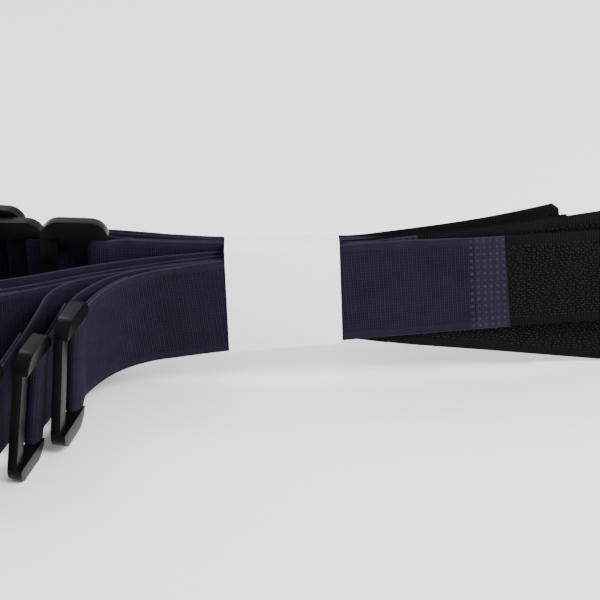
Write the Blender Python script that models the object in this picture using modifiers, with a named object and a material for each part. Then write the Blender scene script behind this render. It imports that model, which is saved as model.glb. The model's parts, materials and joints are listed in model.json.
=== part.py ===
"""Gait belt: ten narrow ring-and-hook-tape belts held in one stack by a paper band.

Each belt is a ribbon of dark woven elastic. One end is folded back through a moulded plastic ring, and a
hook tape is welded behind the other end. The bundle stands on its long edges with both ends fanned out.
Axes: X runs along the belts with the rings at -X, Y is the stacking direction, Z is up. Work is in mm and
the last step scales everything to metres.
"""
import math

import bpy
import numpy as np
from mathutils import Matrix, Vector

for old in list(bpy.data.objects):
    bpy.data.objects.remove(old, do_unlink=True)

MM = 0.001                # one millimetre in metres

# Webbing and hook tape
WIDTH = 38.0              # width of webbing and hook tape
THICK = 0.85              # thickness of either ribbon
NAVY = 182.0              # webbing length seen from its fold to its free end
OVERLAP = 15.4            # length of hook tape under the webbing in the weld
WELD_THICK = 0.36         # each ribbon pressed thin in the weld
WELD_OFF = 0.30           # each ribbon's centre moves this far from the mid line in the weld
TAIL = 38.0               # webbing tail behind the belt, from the ring's bar
TAIL_GAP = 1.15           # centre of the tail behind the centre of the belt

# Ring
RING_W = 26.5             # along the belt
RING_H = 52.4             # across the belt
RING_T = 3.6              # thickness
BAR = 6.8                 # width of the moulded frame on all four sides
RING_R = 7.6              # outer corner radius
SLOT_R = 1.0              # corner radius of the slot
EDGE_R = 0.8              # rounding of the moulded edges

# Fold of the webbing round the ring's bar
FOLD_N = 3.85             # half thickness of the fold, to the ribbon's centre
FOLD_T = 5.25             # reach of the fold past the bar's centre, to the ribbon's centre
FOLD_BLEND = 13.0         # length over which the fold closes down to the tail

# Paper band
BAND_X = 22.0             # half the width of the band
PAPER = 0.2               # paper thickness
PAPER_GAP = 0.4           # paper to belt edges
GLUE = 13.0               # glued overlap at the back

# The stack
MID_Z = 34.8              # middle height of the belts at the band's right edge; lift is a belt's own offset
FRONT_Y = -6.1            # centre of the front belt
PITCH = 1.35              # spacing of the belts inside the band
PIVOT_X = 22.0            # the belts fan up or down from here
HOME = Vector((-9.669, 25.973, 2.016))   # moves the origin to the bottom centre of the bundle

# One entry per belt, front of the stack first. "band" is the belt's slope inside the band in degrees.
# "left" and "right" list (length, turn) pieces from the band outward, turn in degrees and positive toward
# the front. "drop" gives the downward slope going left, at the band's edge and after each left piece.
# "rise" is the upward slope going right after each right piece. "curl" leans the ring end further.
# "swing" is the ring's turn about its bar.
BELTS = [
    dict(band=4.2, lift=1.0, drop=[5.8, 5.4, -0.6], rise=[1.6, 0.9],
         left=[(47, 2.5), (28.5, 54.5), (20.3, 20.5)], right=[(15, 0), (139.2, -3)], curl=-6.0),
    dict(band=4.3, lift=0.6, drop=[3.2, 8.8, 4.6, 0.4], rise=[5.6, 5.8],
         left=[(49.6, 2), (13.2, 12.4), (31, 61), (33.4, 1)], right=[(15, 0), (112, -4.5)], curl=-8.5),
    dict(band=4.8, lift=0.6, drop=[4.0, 3.5, 3.0, -0.2], rise=[-9.4, -9.9],
         left=[(46.2, 1), (32.3, 14.4), (20.7, 62.8), (65.7, -3)], right=[(8, 0), (77.1, -5)], curl=-9.0),
    dict(band=4.0, drop=[5.0, 4.0, -3.0], rise=[-9.5, -10.0], left=[(40, 0), (44, 15), (56, 12)],
         right=[(8, 0), (102, -7)]),
    dict(band=3.0, drop=[5.0, 4.0, -3.0], rise=[-3.2, -3.2], left=[(40, 0), (44, 13), (62, 3)],
         right=[(15, 0), (89, -8)]),
    dict(band=1.5, drop=[3.0, 4.0, 0.0], rise=[4.3, 4.3], left=[(40, 0), (44, 11), (74, -7)],
         right=[(15, 0), (77, -9)]),
    dict(band=-1.8, drop=[-3.6, -3.6], rise=[-2.8, -2.6, -2.4], left=[(50, -3.2), (21, 0)],
         right=[(15, 0), (77, -10), (87, -4)], swing=1.0),
    dict(band=-2.2, drop=[0.2, 1.0], rise=[-2.8, -2.6, -2.4], left=[(50, -9.8), (46, 0)],
         right=[(15, 0), (77, -11), (62, -4)]),
    dict(band=-2.2, drop=[-1.0, -0.6], rise=[-2.8, -2.6, -2.4], left=[(50, -14), (56, 0)],
         right=[(15, 0), (77, -12), (52, -4)]),
    dict(band=-2.2, drop=[0.0, 5.0, 9.0], rise=[5.6, 4.6], left=[(50, -18), (60, 0), (51, 0)],
         right=[(15, 0), (74, -18)]),
]

scene = bpy.context.scene
parts = bpy.data.collections.new("gait_belt")
scene.collection.children.link(parts)


def material(name, color, roughness):
    """Plain Principled material."""
    mat = bpy.data.materials.new(name)
    mat.use_nodes = True
    bsdf = mat.node_tree.nodes["Principled BSDF"]
    bsdf.inputs["Base Color"].default_value = (color[0], color[1], color[2], 1.0)
    bsdf.inputs["Roughness"].default_value = roughness
    return mat


def lean(x):
    """Backward lean of the upright belts in radians: strongest just right of the band."""
    return math.radians(9.0) * math.exp(-((x - 32.0) / 34.0) ** 2)


def walk(pieces, side, y0, z0, slopes, curl):
    """Frames along one half of a belt: rows of position, heading, back normal and width direction."""
    step = 0.5
    x, y, z, heading, run = 0.0, y0, z0, 0.0, 0.0
    total = sum(length for length, turn in pieces)
    rows = []
    for i, (length, turn) in enumerate(pieces):
        count = max(1, round(length / step))
        ds = length / count
        start = slopes[min(i, len(slopes) - 1)]
        end = slopes[min(i + 1, len(slopes) - 1)]
        for j in range(count + 1):
            h = heading + math.radians(turn) * j / count
            slope = math.radians(start + (end - start) * j / count)
            if j > 0:
                x += side * math.cos(h) * ds * math.cos(slope)
                y -= math.sin(h) * ds * math.cos(slope)
                z += math.sin(slope) * ds
                run += ds
            elif i > 0:
                continue
            ahead = Vector((side * math.cos(h), -math.sin(h), 0.0))
            back = Vector((side * math.sin(h), math.cos(h), 0.0))
            tilt = lean(x) + math.radians(curl) * max(0.0, 1.6 * run / total - 0.6)
            upright = Vector((0.0, 0.0, 1.0)) * math.cos(slope) - ahead * math.sin(slope)
            width = upright * math.cos(tilt) + back * math.sin(tilt)
            place = Vector((x, y, z)) + back * (z - MID_Z) * math.tan(lean(x))
            along = (ahead * math.cos(slope) + Vector((0.0, 0.0, 1.0)) * math.sin(slope)).normalized()
            normal = back * math.cos(tilt) - upright * math.sin(tilt)
            rows.append((run, place, along, normal, width))
        heading += math.radians(turn)
    return rows


class Path:
    """A belt's mid line, measured from the ring's bar (0) to the free end of the hook tape."""

    def __init__(self, index):
        belt = BELTS[index]
        y0 = FRONT_Y + PITCH * index
        z0 = MID_Z + belt.get("lift", 0.0) - math.tan(math.radians(belt["band"])) * PIVOT_X
        curl = belt.get("curl", 0.0)
        left = walk(belt["left"], -1, y0, z0, [-belt["band"]] + [-v for v in belt["drop"]], curl)
        right = walk([(PIVOT_X, 0)] + belt["right"], 1, y0, z0, [belt["band"]] * 2 + belt["rise"], 0.0)
        self.rows = []
        reach = left[-1][0]
        for run, place, along, normal, width in reversed(left):
            self.rows.append((reach - run, place, -along, normal, width))
        for run, place, along, normal, width in right[1:]:
            self.rows.append((reach + run, place, along, normal, width))
        self.s = [row[0] for row in self.rows]
        self.length = self.s[-1]

    def at(self, s):
        """Position, heading (away from the ring), back normal and width direction at distance s."""
        i = int(np.searchsorted(self.s, s))
        i = min(max(i, 1), len(self.s) - 1)
        a, b = self.rows[i - 1], self.rows[i]
        f = (s - a[0]) / (b[0] - a[0])
        return [a[k].lerp(b[k], f) if k == 1 else a[k].lerp(b[k], f).normalized() for k in (1, 2, 3, 4)]

    def change(self, s, k):
        """Turn per millimetre near s of the heading (k = 1) or of the width direction (k = 3)."""
        a = self.at(max(0.0, s - 2.0))[k]
        b = self.at(min(self.length, s + 2.0))[k]
        return max(a.angle(b, 0.0) / 4.0, 1e-4)


def smooth(v):
    v = min(1.0, max(0.0, v))
    return v * v * (3.0 - 2.0 * v)


def stations(path, start, end):
    """Distances from start to end, closer together where the belt bends or twists."""
    marks = [start]
    s = start
    while s < end - 1.5:
        gap = min(9.0, max(2.2, 0.11 / path.change(s, 1)), 0.014 / path.change(s, 3))
        s = min(end, s + gap)
        marks.append(s)
    if marks[-1] < end:
        marks[-1] = end
    return marks


def ribbon(name, rows, mat):
    """Closed ribbon: an open strip through the rows, thickened evenly to both sides.

    Each row is (centre, width direction, thickness factor)."""
    verts = []
    for centre, width, factor in rows:
        verts.append(centre - width * WIDTH / 2)
        verts.append(centre + width * WIDTH / 2)
    faces = [(2 * i, 2 * i + 2, 2 * i + 3, 2 * i + 1) for i in range(len(rows) - 1)]
    mesh = bpy.data.meshes.new(name)
    mesh.from_pydata([tuple((v + HOME) * MM) for v in verts], [], faces)
    obj = bpy.data.objects.new(name, mesh)
    parts.objects.link(obj)
    group = obj.vertex_groups.new(name="thickness")
    for i, (centre, width, factor) in enumerate(rows):
        group.add([2 * i, 2 * i + 1], factor, "REPLACE")
    solid = obj.modifiers.new("thickness", "SOLIDIFY")
    solid.thickness = THICK * MM
    solid.offset = 0.0
    solid.vertex_group = "thickness"
    mesh.materials.append(mat)
    return obj


webbing_mat = material("navy_webbing", (0.020, 0.019, 0.035), 0.85)
ring_mat = material("black_plastic", (0.014, 0.014, 0.015), 0.38)
tape_mat = material("black_hook_tape", (0.010, 0.012, 0.011), 0.9)
paper_mat = material("white_paper", (0.80, 0.81, 0.81), 0.7)


def webbing(name, path):
    """The elastic ribbon: free end, straight run, fold round the ring's bar, tail behind."""
    rows = []
    weld = NAVY - OVERLAP
    marks = [NAVY - OVERLAP * i / 5 for i in range(6)] + [weld - 2.0]
    marks += [s for s in reversed(stations(path, FOLD_BLEND, weld - 4.0))]
    mid = TAIL_GAP / 2
    for s in marks:
        place, ahead, normal, width = path.at(s)
        press = smooth((s - weld + 4.0) / 4.0)
        rows.append((place - normal * WELD_OFF * press, width, 1.0 + (WELD_THICK / THICK - 1.0) * press))
    for s in (10.0, 7.5, 5.0, 2.5, 0.0):
        place, ahead, normal, width = path.at(s)
        open_up = 1.0 - smooth((s - 1.0) / (FOLD_BLEND - 1.0))
        rows.append((place + normal * (mid - FOLD_N) * open_up, width, 1.0))
    place, ahead, normal, width = path.at(0.0)
    for degrees in (22, 45, 67, 90, 113, 135, 158):
        a = math.radians(degrees)
        side = mid - FOLD_N * math.cos(a)
        rows.append((place - ahead * FOLD_T * math.sin(a) + normal * side, width, 1.0))
    for s in (0.0, 2.5, 5.0, 7.5, 10.0):
        place, ahead, normal, width = path.at(s)
        open_up = 1.0 - smooth((s - 1.0) / (FOLD_BLEND - 1.0))
        rows.append((place + normal * (TAIL_GAP + (mid + FOLD_N - TAIL_GAP) * open_up), width, 1.0))
    for s in stations(path, FOLD_BLEND, TAIL):
        place, ahead, normal, width = path.at(s)
        rows.append((place + normal * TAIL_GAP, width, 1.0))
    return ribbon(name, rows, webbing_mat)


def hook_tape(name, path):
    """The hook tape: pressed thin behind the webbing in the weld, then full thickness to its tip."""
    weld = NAVY - OVERLAP
    rows = []
    marks = [weld + OVERLAP * i / 5 for i in range(6)] + [NAVY + 2.5] + stations(path, NAVY + 5.0, path.length)
    for s in reversed(marks):
        place, ahead, normal, width = path.at(s)
        press = 1.0 - smooth((s - NAVY - 0.3) / 4.7)
        rows.append((place + normal * WELD_OFF * press, width, 1.0 + (WELD_THICK / THICK - 1.0) * press))
    return ribbon(name, rows, tape_mat)


def rounded(width, height, radius, x0, steps):
    """Corner points of a rounded rectangle centred at (x0, 0)."""
    points = []
    for sx, sy, first in ((1, 1, 0), (-1, 1, 90), (-1, -1, 180), (1, -1, 270)):
        for i in range(steps + 1):
            a = math.radians(first + 90.0 * i / steps)
            px = x0 + sx * (width / 2 - radius) + radius * math.cos(a)
            py = sy * (height / 2 - radius) + radius * math.sin(a)
            points.append((px, py))
    return points


def ring(name, path, swing):
    """Moulded ring: a flat rounded frame. Its origin is the centre of the bar held in the fold."""
    curve = bpy.data.curves.new(name, "CURVE")
    curve.dimensions = "2D"
    curve.fill_mode = "BOTH"
    curve.extrude = RING_T / 2 * MM
    centre = RING_W / 2 - BAR / 2
    outline = rounded(RING_W, RING_H, RING_R, centre, 5)
    slot = rounded(RING_W - 2 * BAR, RING_H - 2 * BAR, SLOT_R, centre, 2)
    for loop in (outline, slot):
        spline = curve.splines.new("POLY")
        spline.points.add(len(loop) - 1)
        for point, (px, py) in zip(spline.points, loop):
            point.co = (px * MM, py * MM, 0.0, 1.0)
        spline.use_cyclic_u = True
    obj = bpy.data.objects.new(name, curve)
    parts.objects.link(obj)
    weld = obj.modifiers.new("weld", "WELD")
    weld.merge_threshold = 0.00001
    bevel = obj.modifiers.new("edges", "BEVEL")
    bevel.width = EDGE_R * MM
    bevel.segments = 2
    bevel.limit_method = "ANGLE"
    bevel.angle_limit = math.radians(60.0)
    bevel.use_clamp_overlap = False
    place, ahead, normal, width = path.at(0.0)
    out = -ahead
    side = out.cross(width).normalized()
    frame = Matrix((out, width, side)).transposed().to_4x4()
    frame = frame @ Matrix.Rotation(math.radians(swing), 4, "Y")
    frame.translation = (place + normal * TAIL_GAP / 2 + HOME) * MM
    obj.matrix_world = frame
    curve.materials.append(ring_mat)
    return obj


def paper_band():
    """Paper strip wrapped once round the stack, its ends glued one over the other at the back."""
    slopes = [math.tan(math.radians(belt["band"])) for belt in BELTS]
    lifts = [belt.get("lift", 0.0) for belt in BELTS]
    half = WIDTH / 2
    first, last = BELTS[0]["left"][0], BELTS[-1]["left"][0]
    loops = []
    for step in range(9):
        x = BAND_X * (step / 4 - 1.0)
        mids = [MID_Z + up + (x - PIVOT_X) * k for k, up in zip(slopes, lifts)]
        low = [m - half / math.cos(math.atan(k)) - PAPER_GAP for m, k in zip(mids, slopes)]
        high = [m + half / math.cos(math.atan(k)) + PAPER_GAP for m, k in zip(mids, slopes)]
        edge = FRONT_Y + PITCH * 3 + 0.6
        part = (PIVOT_X - x) / (2 * BAND_X)
        spread = min(x, 0.0) ** 2 / 2
        front = FRONT_Y - THICK / 2 - PAPER_GAP - spread * math.radians(first[1]) / first[0]
        rear = FRONT_Y + PITCH * (len(BELTS) - 1) + THICK / 2 + PAPER_GAP
        rear -= spread * math.radians(last[1]) / last[0]
        shoulder = high[0] + 3.0 * part + 0.3
        top_mid = FRONT_Y + PITCH * 5 + 0.9
        foot = min(low[0], low[1])
        back_mid = (low[9] + high[9]) / 2 - GLUE / 2
        base = low[9] - 0.25 * part
        outline = [(rear, back_mid), (rear, high[9] - 0.5), (rear - 0.15, high[9] - 0.15),
                   (rear - 0.5, high[9]), (top_mid, high[8] + 0.05 - 0.25 * part),
                   (front + 0.5, shoulder), (front + 0.15, shoulder - 0.15), (front, shoulder - 0.5),
                   (front, (low[0] + shoulder) / 2), (front, foot + 0.5),
                   (front + 0.15, foot + 0.15), (front + 0.5, foot),
                   (edge, min(low[2], low[3]) - 0.45 * part), (FRONT_Y + PITCH * 5 + 0.3, low[5] - 0.1 * part),
                   (rear - 0.5, base), (rear - 0.15, base + 0.15), (rear, base + 0.5),
                   (rear, back_mid - 2.0), (rear + 0.4, back_mid + 0.6), (rear + 0.4, back_mid + GLUE)]
        tilt = math.tan(lean(x))
        loops.append([Vector((x, u + (z - MID_Z) * tilt, z)) for u, z in outline])
    count = len(loops[0])
    verts = [tuple((p + HOME) * MM) for loop in loops for p in loop]
    faces = []
    for i in range(len(loops) - 1):
        for j in range(count - 1):
            a = i * count + j
            faces.append((a, a + 1, a + count + 1, a + count))
    mesh = bpy.data.meshes.new("paper_band")
    mesh.from_pydata(verts, [], faces)
    obj = bpy.data.objects.new("paper_band", mesh)
    parts.objects.link(obj)
    solid = obj.modifiers.new("thickness", "SOLIDIFY")
    solid.thickness = PAPER * MM
    solid.offset = 0.0
    mesh.materials.append(paper_mat)
    return obj


for number in range(len(BELTS)):
    belt_path = Path(number)
    prefix = "belt_%d_" % (number + 1)
    webbing(prefix + "webbing", belt_path)
    hook_tape(prefix + "hook_tape", belt_path)
    ring(prefix + "ring", belt_path, BELTS[number].get("swing", 0.0))
paper_band()
bpy.context.view_layer.update()
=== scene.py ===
"""Ten ring-and-hook-tape belts in a paper band, standing on edge with both ends fanned out."""
import json
import math
import random

import bpy
import numpy as np
from mathutils import Matrix, Vector


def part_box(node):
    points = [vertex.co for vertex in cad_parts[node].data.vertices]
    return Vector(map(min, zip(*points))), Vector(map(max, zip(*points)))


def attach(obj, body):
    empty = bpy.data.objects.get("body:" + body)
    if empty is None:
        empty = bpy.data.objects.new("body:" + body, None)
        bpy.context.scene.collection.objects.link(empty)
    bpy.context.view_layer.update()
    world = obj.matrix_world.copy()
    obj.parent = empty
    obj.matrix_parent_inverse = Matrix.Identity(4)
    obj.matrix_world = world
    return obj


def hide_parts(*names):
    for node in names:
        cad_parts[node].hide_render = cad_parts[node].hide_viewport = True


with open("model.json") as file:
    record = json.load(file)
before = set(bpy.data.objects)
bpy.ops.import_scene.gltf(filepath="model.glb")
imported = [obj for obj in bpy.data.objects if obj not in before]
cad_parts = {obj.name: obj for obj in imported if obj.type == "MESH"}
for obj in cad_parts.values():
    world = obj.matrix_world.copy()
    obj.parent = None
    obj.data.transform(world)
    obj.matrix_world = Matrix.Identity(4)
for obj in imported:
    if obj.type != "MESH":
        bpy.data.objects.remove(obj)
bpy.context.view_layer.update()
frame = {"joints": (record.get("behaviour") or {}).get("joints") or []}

MM = 0.001

# ---------------------------------------------------------------- table, camera and light
# The bundle stands on a plain pale table. A long lens looks down on it from the front by 24 degrees, and
# large soft lights hang over the front and the right.
aim = Vector((-9.669, 19.973, 35.316))
down, roll = math.radians(24.0), math.radians(2.2)
distance, frame_width, focal = 900.0, 600.0, 2337.66
look = Vector((0.0, math.cos(down), -math.sin(down)))
level = look.cross(Vector((0.0, 0.0, 1.0))).normalized()
upright = level.cross(look)
right = level * math.cos(roll) - upright * math.sin(roll)
above = upright * math.cos(roll) + level * math.sin(roll)
off_x, off_y = -16.0 * distance / focal, -1.0 * distance / focal
eye = aim - look * distance - right * off_x - above * off_y
lens = bpy.data.cameras.new("camera")
lens.sensor_width = 36.0
lens.lens = focal / frame_width * lens.sensor_width
lens.clip_end = 20.0
camera = bpy.data.objects.new("camera", lens)
bpy.context.scene.collection.objects.link(camera)
turned = Matrix((right, above, -look)).transposed().to_4x4()
camera.matrix_world = Matrix.Translation(eye * MM) @ turned
bpy.context.scene.camera = camera

bpy.ops.object.select_all(action="DESELECT")
bpy.ops.mesh.primitive_plane_add(size=6.0, location=(0.0, 0.0, 0.0))
table = bpy.context.object
table.name = "table"
table_mat = bpy.data.materials.new("pale_table")
table_mat.use_nodes = True
shader = table_mat.node_tree.nodes["Principled BSDF"]
shader.inputs["Base Color"].default_value = (0.90, 0.90, 0.90, 1.0)
shader.inputs["Roughness"].default_value = 0.9
table.data.materials.append(table_mat)

world = bpy.data.worlds.new("studio")
world.use_nodes = True
sky = world.node_tree.nodes["Background"]
sky.inputs["Color"].default_value = (0.93, 0.95, 1.0, 1.0)
sky.inputs["Strength"].default_value = 1.15
bpy.context.scene.world = world
for name, spot, size, power in (
    ("key_light", (0.75, -0.75, 0.95), 0.5, 30.0),
    ("side_light", (1.2, 0.1, 0.45), 0.5, 13.0),
    ("back_light", (-0.4, 0.9, 1.1), 0.6, 11.0),
):
    lamp = bpy.data.lights.new(name, "AREA")
    lamp.energy = power
    lamp.size = size
    light = bpy.data.objects.new(name, lamp)
    bpy.context.scene.collection.objects.link(light)
    light.location = spot
    aimed = Vector((0.0, 0.0, 0.03)) - Vector(spot)
    light.rotation_euler = aimed.to_track_quat("-Z", "Y").to_euler()

# ---------------------------------------------------------------- webbing
# Each belt is one ribbon of dark navy woven elastic, 38 mm wide, ribbed across with smooth selvages. It goes
# round the held bar of its ring and lies back on itself as a tail, and its other end is welded to the tape.
WIDTH, THICK = 38.0, 0.85
NAVY, OVERLAP = 182.0, 15.4            # from the fold to the cut end, and the welded length
TAIL, TAIL_GAP = 38.0, 1.15            # the tail's length, and its middle behind the belt's middle
WELD_THICK, WELD_OFF = 0.36, 0.30      # each ribbon's thickness in the weld, and its shift
FOLD_N, FOLD_T, FOLD_BLEND = 2.75, 4.55, 10.0     # the turn's half depth, reach and closing length
MID_Z, FRONT_Y, PITCH, PIVOT_X = 34.8, -6.1, 1.35, 22.0
HOME = np.array((-9.669, 25.973, 2.016))
RIB, RIB_DEPTH = 0.82, 0.1
CUT_SKEW, CUT_LENGTH = 0.7, 4.0        # how far and over what length the cut end is out of square
WELD_ROWS, WELD_COLUMNS = 14, 6
WELD_ROW, WELD_COLUMN = 2.68, 2.45
MAP = MM * 10.0                        # the weave map is in decimetres
BELTS = [
    dict(band=4.2, lift=1.0, drop=[5.8, 5.4, -0.6], rise=[1.6, 0.9],
         left=[(47, 2.5), (28.5, 54.5), (20.3, 20.5)], right=[(15, 0), (139.2, -3)], curl=-6.0),
    dict(band=4.3, lift=0.6, drop=[3.2, 8.8, 4.6, 0.4], rise=[5.6, 5.8],
         left=[(49.6, 2), (13.2, 12.4), (31, 61), (33.4, 1)], right=[(15, 0), (112, -4.5)], curl=-8.5),
    dict(band=4.8, lift=0.6, drop=[4.0, 3.5, 3.0, -0.2], rise=[-9.4, -9.9],
         left=[(46.2, 1), (32.3, 14.4), (20.7, 62.8), (65.7, -3)], right=[(8, 0), (77.1, -5)], curl=-9.0),
    dict(band=4.0, drop=[5.0, 4.0, -3.0], rise=[-9.5, -10.0], left=[(40, 0), (44, 15), (56, 12)],
         right=[(8, 0), (102, -7)]),
    dict(band=3.0, drop=[5.0, 4.0, -3.0], rise=[-3.2, -3.2], left=[(40, 0), (44, 13), (62, 3)],
         right=[(15, 0), (89, -8)]),
    dict(band=1.5, drop=[3.0, 4.0, 0.0], rise=[4.3, 4.3], left=[(40, 0), (44, 11), (74, -7)],
         right=[(15, 0), (77, -9)]),
    dict(band=-1.8, drop=[-3.6, -3.6], rise=[-2.8, -2.6, -2.4], left=[(50, -3.2), (21, 0)],
         right=[(15, 0), (77, -10), (87, -4)]),
    dict(band=-2.2, drop=[0.2, 1.0], rise=[-2.8, -2.6, -2.4], left=[(50, -9.8), (46, 0)],
         right=[(15, 0), (77, -11), (62, -4)]),
    dict(band=-2.2, drop=[-1.0, -0.6], rise=[-2.8, -2.6, -2.4], left=[(50, -14), (56, 0)],
         right=[(15, 0), (77, -12), (52, -4)]),
    dict(band=-2.2, drop=[0.0, 5.0, 9.0], rise=[5.6, 4.6], left=[(50, -18), (60, 0), (51, 0)],
         right=[(15, 0), (74, -18)]),
]


def lean(x):
    """Backward lean of the upright belts, strongest just right of the band."""
    return math.radians(9.0) * math.exp(-((x - 32.0) / 34.0) ** 2)


def walk(pieces, side, y0, z0, slopes, curl):
    """Rows of distance, position, heading, back normal and width direction along one half of a belt."""
    x, y, z, heading, run = 0.0, y0, z0, 0.0, 0.0
    total = sum(length for length, turn in pieces)
    rows = []
    for i, (length, turn) in enumerate(pieces):
        count = max(1, round(length / 0.5))
        ds = length / count
        start, end = slopes[min(i, len(slopes) - 1)], slopes[min(i + 1, len(slopes) - 1)]
        for j in range(count + 1):
            h = heading + math.radians(turn) * j / count
            slope = math.radians(start + (end - start) * j / count)
            if j > 0:
                x += side * math.cos(h) * ds * math.cos(slope)
                y -= math.sin(h) * ds * math.cos(slope)
                z += math.sin(slope) * ds
                run += ds
            elif i > 0:
                continue
            ahead = np.array((side * math.cos(h), -math.sin(h), 0.0))
            back = np.array((side * math.sin(h), math.cos(h), 0.0))
            tilt = lean(x) + math.radians(curl) * max(0.0, 1.6 * run / total - 0.6)
            rise = np.array((0.0, 0.0, 1.0)) * math.cos(slope) - ahead * math.sin(slope)
            width = rise * math.cos(tilt) + back * math.sin(tilt)
            spot = np.array((x, y, z)) + back * (z - MID_Z) * math.tan(lean(x))
            along = ahead * math.cos(slope) + np.array((0.0, 0.0, 1.0)) * math.sin(slope)
            normal = back * math.cos(tilt) - rise * math.sin(tilt)
            rows.append(np.concatenate(([run], spot, along, normal, width)))
        heading += math.radians(turn)
    return rows


def belt_line(index):
    """A belt's mid line from the ring's bar to the tip of its tape, as an array of rows."""
    belt = BELTS[index]
    y0 = FRONT_Y + PITCH * index
    z0 = MID_Z + belt.get("lift", 0.0) - math.tan(math.radians(belt["band"])) * PIVOT_X
    falls = [-belt["band"]] + [-v for v in belt["drop"]]
    left = walk(belt["left"], -1, y0, z0, falls, belt.get("curl", 0.0))
    rises = [belt["band"]] * 2 + belt["rise"]
    ahead = walk([(PIVOT_X, 0)] + belt["right"], 1, y0, z0, rises, 0.0)
    left = np.array(left[::-1])
    reach = left[0, 0]
    left[:, 0] = reach - left[:, 0]
    left[:, 4:7] *= -1.0
    ahead = np.array(ahead[1:])
    ahead[:, 0] += reach
    line = np.vstack((left, ahead))
    line[:, 1:4] += HOME
    return line


def on_line(line, s):
    """Position, heading, back normal and width direction at the distances s."""
    s = np.atleast_1d(s)
    rows = np.stack([np.interp(s, line[:, 0], line[:, k]) for k in range(1, 13)], axis=1)
    return rows[:, 0:3], rows[:, 3:6], rows[:, 6:9], rows[:, 9:12]


def ease(v):
    v = np.clip(v, 0.0, 1.0)
    return v * v * (3.0 - 2.0 * v)


def resample(centres, widths, factors, step):
    """Even stations along a strip, with its outward side."""
    gaps = np.linalg.norm(np.diff(centres, axis=0), axis=1)
    run = np.concatenate(([0.0], np.cumsum(gaps)))
    s = np.linspace(0.0, run[-1], int(run[-1] / step) + 1)
    c = np.stack([np.interp(s, run, centres[:, k]) for k in range(3)], axis=1)
    w = np.stack([np.interp(s, run, widths[:, k]) for k in range(3)], axis=1)
    w /= np.linalg.norm(w, axis=1)[:, None]
    f = np.interp(s, run, factors)
    t = np.gradient(c, axis=0)
    out = np.cross(t, w)
    out /= np.linalg.norm(out, axis=1)[:, None]
    return s, c, w, out, f


def strip_mesh(name, s, c, w, across, loop, heights):
    """Closed ribbon along the stations s, c, w. The loop lists places across the belt, which across scales at
    each station, and heights gives each place's offset. The weave map is the distance along and across."""
    count, ring = len(s), len(loop)
    places = np.array(loop)
    co = c[:, None, :] + w[:, None, :] * (places[None, :, None] * across[:, None, None]) + heights
    verts = co.reshape(-1, 3) * MM
    first = np.arange(count - 1)[:, None] * ring + np.arange(ring)[None, :]
    after = np.arange(count - 1)[:, None] * ring + (np.arange(ring)[None, :] + 1) % ring
    quads = np.stack((first, after, after + ring, first + ring), axis=2).reshape(-1, 4)
    ends = [list(range(ring))[::-1], list(range((count - 1) * ring, count * ring))]
    mesh = bpy.data.meshes.new(name)
    mesh.from_pydata(verts.tolist(), [], quads.tolist() + ends)
    obj = bpy.data.objects.new(name, mesh)
    bpy.context.scene.collection.objects.link(obj)
    uv = mesh.uv_layers.new(name="weave")
    corner = np.zeros(len(mesh.loops), dtype=np.int64)
    mesh.loops.foreach_get("vertex_index", corner)
    along = np.repeat(s, ring)[corner] * MAP
    side = (np.tile(places, count) * np.repeat(across, ring))[corner] * MAP
    uv.data.foreach_set("uv", np.stack((along, side), axis=1).ravel().astype(np.float32))
    return obj


def add_bodies(obj, verts, faces, slot):
    """Adds small closed bodies, given in mm, to an object's mesh with their own material slot."""
    extra = bpy.data.meshes.new("extra")
    extra.from_pydata([tuple(p * MM) for p in verts], [], faces)
    for material in obj.data.materials:
        extra.materials.append(material)
    part = bpy.data.objects.new("extra", extra)
    bpy.context.scene.collection.objects.link(part)
    for poly in extra.polygons:
        poly.material_index = slot
    bpy.ops.object.select_all(action="DESELECT")
    part.select_set(True)
    obj.select_set(True)
    bpy.context.view_layer.objects.active = obj
    bpy.ops.object.join()


def add_domes(obj, spots):
    """Low round points on a surface, each at a place with the width and outward directions there."""
    verts, faces = [], []
    for centre, across, up in spots:
        along, base = np.cross(across, up), len(verts)
        for radius, rise in ((0.78, -0.1), (0.66, 0.06), (0.38, 0.15)):
            for k in range(8):
                a = math.pi * (k + 0.5) / 4.0
                verts.append(centre + (across * math.cos(a) + along * math.sin(a)) * radius + up * rise)
        for tier in range(2):
            for k in range(8):
                a, b = base + tier * 8 + k, base + tier * 8 + (k + 1) % 8
                faces.append((a, b, b + 8, a + 8))
        faces.append(tuple(range(base + 16, base + 24)))
        faces.append(tuple(range(base + 7, base - 1, -1)))
    add_bodies(obj, verts, faces, 1)


def smooth_shaded(obj, degrees):
    """Smooth shading that keeps edges sharper than the angle."""
    bpy.ops.object.select_all(action="DESELECT")
    obj.select_set(True)
    bpy.context.view_layer.objects.active = obj
    bpy.ops.object.mode_set(mode="EDIT")
    bpy.ops.mesh.select_all(action="SELECT")
    bpy.ops.mesh.normals_make_consistent(inside=False)
    bpy.ops.object.mode_set(mode="OBJECT")
    bpy.ops.object.shade_smooth_by_angle(angle=math.radians(degrees))


def node(tree, kind, **sockets):
    """Adds a node. Numbers set its inputs, sockets are linked to them. Keys are input numbers after an i."""
    n = tree.nodes.new(kind)
    for key, value in sockets.items():
        if key[0] == "i" and key[1:].isdigit():
            target = n.inputs[int(key[1:])]
            if isinstance(value, bpy.types.NodeSocket):
                tree.links.new(value, target)
            else:
                target.default_value = value
        else:
            setattr(n, key, value)
    return n


def math_node(tree, operation, a, b=0.0, c=0.0):
    return node(tree, "ShaderNodeMath", operation=operation, i0=a, i1=b, i2=c).outputs[0]


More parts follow.
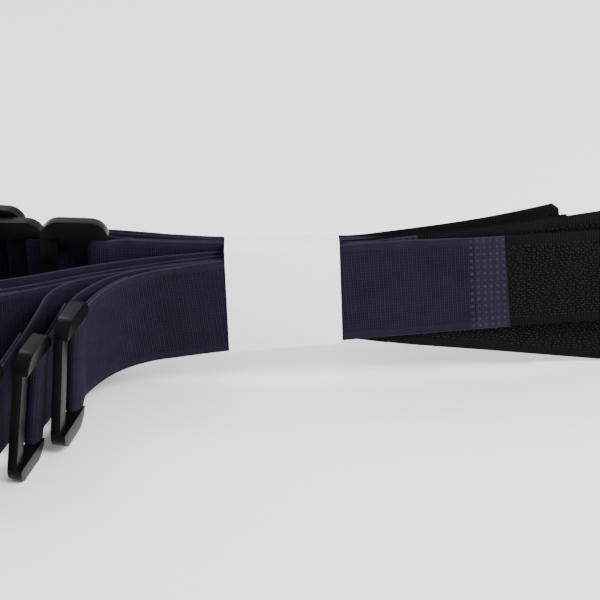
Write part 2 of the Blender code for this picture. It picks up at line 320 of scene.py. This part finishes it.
def mix_color(tree, amount, a, b, blend="MIX"):
    n = tree.nodes.new("ShaderNodeMix")
    n.data_type = "RGBA"
    n.blend_type = blend
    for socket, value in ((n.inputs[0], amount), (n.inputs[6], a), (n.inputs[7], b)):
        if isinstance(value, bpy.types.NodeSocket):
            tree.links.new(value, socket)
        else:
            socket.default_value = value
    return n.outputs[2]


def wave(tree, value, period):
    """0 to 1 cosine of a length on the weave map, with a period in mm."""
    turn = math_node(tree, "MULTIPLY", value, 2.0 * math.pi / (period * MAP))
    return math_node(tree, "MULTIPLY_ADD", math_node(tree, "COSINE", turn), 0.5, 0.5)


def new_material(name, roughness, specular):
    """A material with its node tree and its shader."""
    mat = bpy.data.materials.new(name)
    mat.use_nodes = True
    shader = mat.node_tree.nodes["Principled BSDF"]
    shader.inputs["Roughness"].default_value = roughness
    shader.inputs["Specular IOR Level"].default_value = specular
    return mat, mat.node_tree, shader


def mottled(tree, color, spots, scale, least, swing):
    """A colour times a slow cloud, from least to least + swing."""
    clouds = node(tree, "ShaderNodeTexNoise", i0=spots, i2=scale, i3=3.0).outputs[0]
    shade = math_node(tree, "MULTIPLY_ADD", clouds, swing, least)
    grey = node(tree, "ShaderNodeCombineColor", i0=shade, i1=shade, i2=shade).outputs[0]
    return mix_color(tree, 1.0, color, grey, "MULTIPLY")


def knit_bump(tree, shader, rows, fibres):
    """Fine relief of the knit's rows and loose fibres."""
    height = math_node(tree, "MULTIPLY_ADD", rows, 0.5, math_node(tree, "MULTIPLY", fibres, 0.8))
    bump = node(tree, "ShaderNodeBump", i0=0.6, i1=0.0002, i3=height)
    tree.links.new(bump.outputs[0], shader.inputs["Normal"])


def weave_axes(tree):
    """Distance along and across the ribbon, from its weave map."""
    uv = node(tree, "ShaderNodeUVMap", uv_map="weave")
    split = node(tree, "ShaderNodeSeparateXYZ", i0=uv.outputs[0])
    return split.outputs[0], split.outputs[1]


webbing_mat, tree, shader = new_material("navy_elastic", 0.85, 0.06)
along, side = weave_axes(tree)
ribs = wave(tree, along, RIB)
pairs = wave(tree, along, RIB * 2.0)
rows = wave(tree, side, 1.21)
fine = wave(tree, side, 0.55)
edge = math_node(tree, "ABSOLUTE", side)
selvage = math_node(tree, "GREATER_THAN", edge, 16.1 * MAP)
# Painted highlight: a thin lighter line along both edges of the ribbon, standing in for the light that the
# edges catch.
painted_rim_highlight = math_node(tree, "GREATER_THAN", edge, 18.55 * MAP)
spots = node(tree, "ShaderNodeTexCoord").outputs["Object"]
fibres = node(tree, "ShaderNodeTexNoise", i0=spots, i2=2600.0, i3=2.0).outputs[0]
knit = math_node(tree, "MULTIPLY", ribs, math_node(tree, "MULTIPLY_ADD", rows, 0.45, 0.55))
knit = math_node(tree, "MULTIPLY_ADD", pairs, 0.18, math_node(tree, "MULTIPLY", knit, 0.82))
knit = math_node(tree, "MULTIPLY_ADD", math_node(tree, "SUBTRACT", fibres, 0.5), 0.9, knit)
body = mix_color(tree, knit, (0.0030, 0.0028, 0.0058, 1.0), (0.0142, 0.0132, 0.0250, 1.0))
flat = mix_color(tree, fine, (0.0072, 0.0068, 0.0135, 1.0), (0.0112, 0.0105, 0.0205, 1.0))
color = mix_color(tree, selvage, body, flat)
# The painted edge highlight is mixed into the ribbon's colour here.
color = mix_color(tree, painted_rim_highlight, color, (0.018, 0.0172, 0.031, 1.0))
weld = math_node(tree, "LESS_THAN", along, OVERLAP * 0.8 * MAP)
color = mix_color(tree, math_node(tree, "MULTIPLY", weld, 0.30), color, (0.020, 0.0188, 0.034, 1.0))
color = mottled(tree, color, spots, 180.0, 0.75, 0.5)
tree.links.new(color, shader.inputs["Base Color"])
knit_bump(tree, shader, rows, fibres)

weld_mat, tree, shader = new_material("welded_points", 0.7, 0.1)
spots = node(tree, "ShaderNodeTexCoord").outputs["Object"]
melt = node(tree, "ShaderNodeTexNoise", i0=spots, i2=900.0, i3=2.0).outputs[0]
color = mix_color(tree, melt, (0.008, 0.0077, 0.0145, 1.0), (0.024, 0.0232, 0.038, 1.0))
tree.links.new(color, shader.inputs["Base Color"])

EDGE_PLACES = [-19.0, -18.6, -16.3, -15.9, -8.0, 0.0, 8.0, 15.9, 16.3, 18.6, 19.0]
LOOP = EDGE_PLACES + EDGE_PLACES[-2:0:-1]
lines = [belt_line(i) for i in range(len(BELTS))]


def ribbed_heights(s, out, half, pitch, depth):
    """Offsets of the loop's places: flat selvages, ribs between them, on both sides."""
    rib = 0.5 + 0.5 * np.cos(2.0 * np.pi * s / pitch)
    rib = rib * (0.86 + 0.14 * np.cos(np.pi * s / pitch))
    heights = np.zeros((len(s), len(LOOP), 3))
    for k, place in enumerate(LOOP):
        sign = 1.0 if k < len(EDGE_PLACES) else -1.0
        if abs(place) > 18.9:
            amount = np.zeros(len(s))
        elif abs(place) > 18.0:
            amount = half * 0.92
        elif abs(place) > 16.0:
            amount = half * (1.0 - 0.25 * depth / 0.1)
        else:
            amount = half - depth * (1.0 - rib)
        heights[:, k, :] = out * (sign * amount)[:, None]
    return heights


for index, line in enumerate(lines):
    name = "belt_%d_webbing" % (index + 1)
    weld_start = NAVY - OVERLAP
    s_main = np.arange(NAVY, -0.01, -0.4)
    spot, ahead, normal, width = on_line(line, s_main)
    press = ease((s_main - weld_start + 4.0) / 4.0)
    opening = 1.0 - ease((s_main - 1.0) / (FOLD_BLEND - 1.0))
    mid = TAIL_GAP / 2
    main = spot - normal * (WELD_OFF * press)[:, None] + normal * ((mid - FOLD_N) * opening)[:, None]
    bend = np.radians(np.arange(5.0, 179.0, 5.0))
    spot0, ahead0, normal0, width0 = on_line(line, np.zeros(len(bend)))
    fold = spot0 - ahead0 * (FOLD_T * np.sin(bend))[:, None]
    fold = fold + normal0 * (mid - FOLD_N * np.cos(bend))[:, None]
    s_tail = np.arange(0.0, TAIL + 0.01, 0.4)
    spot1, ahead1, normal1, width1 = on_line(line, s_tail)
    opening = 1.0 - ease((s_tail - 1.0) / (FOLD_BLEND - 1.0))
    tail = spot1 + normal1 * (TAIL_GAP + (mid + FOLD_N - TAIL_GAP) * opening)[:, None]
    centres = np.vstack((main, fold, tail))
    widths = np.vstack((width, width0, width1))
    factors = np.concatenate((1.0 + (WELD_THICK / THICK - 1.0) * press, np.ones(len(bend) + len(s_tail))))
    s, c, w, out, f = resample(centres, widths, factors, RIB / 4.0)
    if out[10] @ normal[10] > 0:
        out = -out
    half = THICK / 2 * f
    across = 1.0 + 0.0022 * np.sin(s / 7.3 + index) * np.sin(s / 3.1 + 2.0 * index)
    heights = ribbed_heights(s, out, half, RIB, RIB_DEPTH * f)
    skew = np.clip(1.0 - s / CUT_LENGTH, 0.0, 1.0) * -CUT_SKEW / (WIDTH / 2)
    heights += ahead[0] * (skew[:, None] * np.array(LOOP)[None, :])[:, :, None]
    webbing = strip_mesh(name + "_elastic", s, c, w, across, LOOP, heights)
    webbing.data.materials.append(webbing_mat)
    webbing.data.materials.append(weld_mat)
    spots = []
    for row in range(WELD_ROWS):
        for column in range(WELD_COLUMNS):
            k = int(np.searchsorted(s, 1.35 + WELD_COLUMN * column))
            v = -17.4 + WELD_ROW * row
            spots.append((c[k] + w[k] * v + out[k] * (half[k] - 0.03), w[k], out[k]))
    add_domes(webbing, spots)
    smooth_shaded(webbing, 60.0)
    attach(webbing, "bundle")
    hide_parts(name)

# ---------------------------------------------------------------- hook tapes
# A black woven tape with rows of moulded hooks on its front and plain ribbed edges. Its inner end is pressed
# thin behind the webbing and welded there through a grid of small points.
TAPE_RIB, TAPE_RIB_DEPTH, TAPE_HALF = 1.05, 0.08, 0.34
HOOK_ROW, HOOK_LANE, HOOK_HIGH = 1.05, 2.17, 0.85
CHAMFER = 2.6                          # the tip's cut corners
tape_mat, tree, shader = new_material("black_hook_tape", 0.85, 0.05)
along, side = weave_axes(tree)
ribs = wave(tree, along, TAPE_RIB)
rows = wave(tree, side, 1.07)
spots = node(tree, "ShaderNodeTexCoord").outputs["Object"]
fibres = node(tree, "ShaderNodeTexNoise", i0=spots, i2=2400.0, i3=2.0).outputs[0]
knit = math_node(tree, "MULTIPLY_ADD", ribs, 0.6, math_node(tree, "MULTIPLY", rows, 0.25))
knit = math_node(tree, "MULTIPLY_ADD", math_node(tree, "SUBTRACT", fibres, 0.5), 0.8, knit)
color = mix_color(tree, knit, (0.0012, 0.0014, 0.0013, 1.0), (0.0072, 0.0080, 0.0074, 1.0))
color = mottled(tree, color, spots, 150.0, 0.7, 0.6)
tree.links.new(color, shader.inputs["Base Color"])
knit_bump(tree, shader, rows, fibres)

hook_mat, tree, shader = new_material("hook_filament", 0.5, 0.18)
spots = node(tree, "ShaderNodeTexCoord").outputs["Object"]
tone = node(tree, "ShaderNodeTexNoise", i0=spots, i2=500.0, i3=2.0).outputs[0]
color = mix_color(tree, tone, (0.0025, 0.0028, 0.0023, 1.0), (0.012, 0.0132, 0.0112, 1.0))
tree.links.new(color, shader.inputs["Base Color"])

chance = random.Random(7)
for index, line in enumerate(lines):
    name = "belt_%d_hook_tape" % (index + 1)
    weld_start, tip = NAVY - OVERLAP, line[-1, 0]
    s_tape = np.append(np.arange(weld_start, tip, 0.4), tip)
    spot, ahead, normal, width = on_line(line, s_tape)
    press = 1.0 - ease((s_tape - NAVY - 0.3) / 4.7)
    centres = spot + normal * (WELD_OFF * press)[:, None]
    factors = 1.0 + (WELD_THICK / THICK - 1.0) * press
    s, c, w, out, f = resample(centres, width, factors, TAPE_RIB / 4.0)
    if out[10] @ normal[10] > 0:
        out = -out
    half = TAPE_HALF * f
    cut = np.maximum(0.0, CHAMFER - (s[-1] - s))
    across = 1.0 - cut / (WIDTH / 2)
    heights = ribbed_heights(s, out, half, TAPE_RIB, TAPE_RIB_DEPTH * f)
    tape = strip_mesh(name + "_woven", s, c, w, across, LOOP, heights)
    tape.data.materials.append(tape_mat)
    tape.data.materials.append(hook_mat)
    front = lines[index - 1] if index else None
    verts, faces = [], []
    run, lane = OVERLAP + 1.2, 0
    while run < s[-1] - 1.0:
        k = int(np.searchsorted(s, run))
        room = HOOK_HIGH
        if front is not None and c[k][0] < front[-1, 1]:
            gap = c[k][1] - np.interp(c[k][0], front[-400:, 1], front[-400:, 2]) - 0.9
            room = min(HOOK_HIGH, max(0.3, 0.8 * gap))
        for row in range(14):
            stagger = 0.54 if lane % 2 else -0.54
            v = (row - 6.5) * HOOK_LANE + stagger + chance.uniform(-0.15, 0.15)
            forward = np.cross(out[k], w[k]) * (1.0 if chance.random() < 0.5 else -1.0)
            turn = chance.uniform(-0.6, 0.6)
            forward = forward * math.cos(turn) + w[k] * math.sin(turn)
            sideways = np.cross(out[k], forward)
            root = c[k] + w[k] * v + out[k] * (half[k] - 0.12)
            root = root + forward * chance.uniform(-0.15, 0.15)
            size = room * chance.uniform(0.85, 1.0)
            base = len(verts)
            bent = ((0, 0.0, 0.0), (1, 0.62, 0.04), (2, 1.0, 0.40), (3, 0.80, 0.78))
            for step, rise, reach in bent:
                middle = root + out[k] * (rise * size) + forward * (reach * 0.95)
                axis = forward if step < 2 else out[k]
                for a in (0.785, 2.356, 3.927, 5.498):
                    verts.append(middle + (axis * math.cos(a) + sideways * math.sin(a)) * 0.2)
            for step in range(3):
                for a in range(4):
                    p, q = base + step * 4 + a, base + step * 4 + (a + 1) % 4
                    faces.append((p, q, q + 4, p + 4))
            faces.append((base + 3, base + 2, base + 1, base))
            faces.append((base + 12, base + 13, base + 14, base + 15))
        run, lane = run + HOOK_ROW, lane + 1
    add_bodies(tape, verts, faces, 1)
    smooth_shaded(tape, 60.0)
    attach(tape, "bundle")
    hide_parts(name)

# ---------------------------------------------------------------- rings
# A black moulded plastic frame with round outer corners and a long slot, one at each fold. Its two long bars
# are thin, and its ends stand out in front of them. It turns on the bar that the webbing holds.
RING_W, RING_H, RING_T, BAR, RING_R = 26.5, 52.4, 3.5, 6.8, 7.2
END_OUT, MOULD_R = 1.9, 1.2            # how far the ends stand out, and the rounding of the edges
ring_mat, tree, shader = new_material("black_moulded_plastic", 0.36, 0.05)
spots = node(tree, "ShaderNodeTexCoord").outputs["Object"]
grain = node(tree, "ShaderNodeTexNoise", i0=spots, i2=1500.0, i3=3.0).outputs[0]
cloud = node(tree, "ShaderNodeTexNoise", i0=spots, i2=140.0, i3=2.0).outputs[0]
color = mix_color(tree, cloud, (0.0016, 0.0019, 0.0017, 1.0), (0.0034, 0.0039, 0.0035, 1.0))
tree.links.new(color, shader.inputs["Base Color"])
rough = math_node(tree, "MULTIPLY_ADD", grain, 0.12, 0.24)
tree.links.new(rough, shader.inputs["Roughness"])
bump = node(tree, "ShaderNodeBump", i0=0.2, i1=0.0001, i3=grain)
tree.links.new(bump.outputs[0], shader.inputs["Normal"])

bpy.ops.object.select_all(action="DESELECT")
bpy.ops.mesh.primitive_plane_add(size=1.0, location=(0.0, 0.0, -RING_T / 2 * MM))
pattern = bpy.context.object
pattern.name = "ring_pattern"
pattern.scale = (RING_W * MM, RING_H * MM, 1.0)
bpy.ops.object.transform_apply(location=True, rotation=False, scale=True)
bpy.ops.object.mode_set(mode="EDIT")
bpy.ops.mesh.select_all(action="SELECT")
bpy.ops.mesh.bevel(offset=RING_R * MM, offset_type="OFFSET", segments=12, affect="VERTICES")
bpy.ops.mesh.select_all(action="SELECT")
bpy.ops.mesh.inset(thickness=BAR * MM, depth=0.0)
bpy.ops.mesh.delete(type="FACE")
bpy.ops.mesh.select_all(action="SELECT")
bpy.ops.mesh.extrude_region_move(TRANSFORM_OT_translate={"value": (0.0, 0.0, RING_T * MM)})
bpy.ops.mesh.select_all(action="SELECT")
bpy.ops.mesh.normals_make_consistent(inside=False)
for side in (-1.0, 1.0):
    inner = side * (RING_H / 2 - BAR) * MM
    bpy.ops.mesh.select_all(action="SELECT")
    bpy.ops.mesh.bisect(plane_co=(0.0, inner, 0.0), plane_no=(0.0, 1.0, 0.0))
    bpy.ops.mesh.select_all(action="DESELECT")
    bpy.ops.object.mode_set(mode="OBJECT")
    for poly in pattern.data.polygons:
        front_face = abs(poly.center.z - RING_T / 2 * MM) < 1e-6
        poly.select = front_face and side * poly.center.y > side * inner + 1e-6
    bpy.ops.object.mode_set(mode="EDIT")
    bpy.ops.mesh.select_mode(type="FACE")
    bpy.ops.mesh.extrude_region_move(TRANSFORM_OT_translate={"value": (0.0, 0.0, END_OUT * MM)})
bpy.ops.object.mode_set(mode="OBJECT")
rounding = pattern.modifiers.new("moulded_edges", "BEVEL")
rounding.width = MOULD_R * MM
rounding.segments = 5
rounding.limit_method = "ANGLE"
rounding.angle_limit = math.radians(50.0)
rounding.use_clamp_overlap = True
bpy.ops.object.modifier_apply(modifier="moulded_edges")
bpy.ops.object.shade_smooth_by_angle(angle=math.radians(40.0))
pattern.data.transform(Matrix.Translation(((RING_W / 2 - BAR / 2) * MM, 0.0, 0.0)))

for joint in frame["joints"]:
    number = int(joint["child"].split("_")[1])
    cad = "belt_%d_ring" % number
    bar, axis = Vector(joint["pos_m"]), Vector(joint["axis"]).normalized()
    low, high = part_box(cad)
    outward = (low + high) / 2 - bar
    outward = (outward - axis * outward.dot(axis)).normalized()
    place = Matrix((outward, -axis, axis.cross(outward))).transposed().to_4x4()
    place.translation = bar
    ring = bpy.data.objects.new(cad + "_moulding", pattern.data.copy())
    bpy.context.scene.collection.objects.link(ring)
    ring.data.transform(place)
    ring.data.materials.append(ring_mat)
    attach(ring, joint["child"])
    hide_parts(cad)
bpy.data.objects.remove(pattern)

# ---------------------------------------------------------------- paper band
# A strip of plain white paper wrapped once round the ten belts, its ends glued one over the other behind.
BAND_X, PAPER, PAPER_GAP, GLUE = 22.0, 0.14, 0.4, 13.0
paper_mat, tree, shader = new_material("white_paper", 0.75, 0.3)
spots = node(tree, "ShaderNodeTexCoord").outputs["Object"]
mottle = node(tree, "ShaderNodeTexNoise", i0=spots, i2=260.0, i3=4.0).outputs[0]
pulp = node(tree, "ShaderNodeTexNoise", i0=spots, i2=3000.0, i3=3.0).outputs[0]
color = mix_color(tree, mottle, (0.74, 0.76, 0.76, 1.0), (0.86, 0.87, 0.87, 1.0))
tree.links.new(color, shader.inputs["Base Color"])
bump = node(tree, "ShaderNodeBump", i0=0.25, i1=0.0001, i3=pulp)
tree.links.new(bump.outputs[0], shader.inputs["Normal"])

slopes = [math.tan(math.radians(belt["band"])) for belt in BELTS]
lifts = [belt.get("lift", 0.0) for belt in BELTS]
first, last = BELTS[0]["left"][0], BELTS[-1]["left"][0]
loops = []
for step in range(33):
    x = BAND_X * (step / 16 - 1.0)
    mids = [MID_Z + up + (x - PIVOT_X) * k for k, up in zip(slopes, lifts)]
    low = [m - WIDTH / 2 / math.cos(math.atan(k)) - PAPER_GAP for m, k in zip(mids, slopes)]
    high = [m + WIDTH / 2 / math.cos(math.atan(k)) + PAPER_GAP for m, k in zip(mids, slopes)]
    part = (PIVOT_X - x) / (2 * BAND_X)
    spread = min(x, 0.0) ** 2 / 2
    front = FRONT_Y - THICK / 2 - PAPER_GAP - spread * math.radians(first[1]) / first[0]
    rear = FRONT_Y + PITCH * (len(BELTS) - 1) + THICK / 2 + PAPER_GAP
    rear -= spread * math.radians(last[1]) / last[0]
    shoulder = high[0] + 3.0 * part + 0.3
    foot = min(low[0], low[1])
    back_mid = (low[9] + high[9]) / 2 - GLUE / 2
    base = low[9] - 0.25 * part
    outline = [(rear, back_mid), (rear, high[9] - 0.5), (rear - 0.15, high[9] - 0.15),
               (rear - 0.5, high[9]),
               (FRONT_Y + PITCH * 5 + 0.9, high[8] + 0.05 - 0.25 * part),
               (front + 0.5, shoulder), (front + 0.15, shoulder - 0.15), (front, shoulder - 0.5),
               (front, (low[0] + shoulder) / 2), (front, foot + 0.5), (front + 0.15, foot + 0.15),
               (front + 0.5, foot), (FRONT_Y + PITCH * 3 + 0.6, min(low[2], low[3]) - 0.45 * part),
               (FRONT_Y + PITCH * 5 + 0.3, low[5] - 0.1 * part), (rear - 0.5, base),
               (rear - 0.15, base + 0.15), (rear, base + 0.5), (rear, back_mid - 2.0),
               (rear + 0.4, back_mid + 0.6), (rear + 0.4, back_mid + GLUE)]
    tilt = math.tan(lean(x))
    points = np.array([(x, u + (z - MID_Z) * tilt, z) for u, z in outline]) + HOME
    loops.append(points)
count = len(loops[0])
verts = [tuple(p * MM) for points in loops for p in points]
faces = [(i + j, i + j + 1, i + j + 1 + count, i + j + count)
         for i in range(0, (len(loops) - 1) * count, count) for j in range(count - 1)]
mesh = bpy.data.meshes.new("paper_band_strip")
mesh.from_pydata(verts, [], faces)
band = bpy.data.objects.new("paper_band_strip", mesh)
bpy.context.scene.collection.objects.link(band)
bpy.ops.object.select_all(action="DESELECT")
band.select_set(True)
bpy.context.view_layer.objects.active = band
solid = band.modifiers.new("paper", "SOLIDIFY")
solid.thickness = PAPER * MM
solid.offset = 0.0
bpy.ops.object.modifier_apply(modifier="paper")
smooth_shaded(band, 25.0)
band.data.materials.append(paper_mat)
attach(band, "bundle")
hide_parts("paper_band")
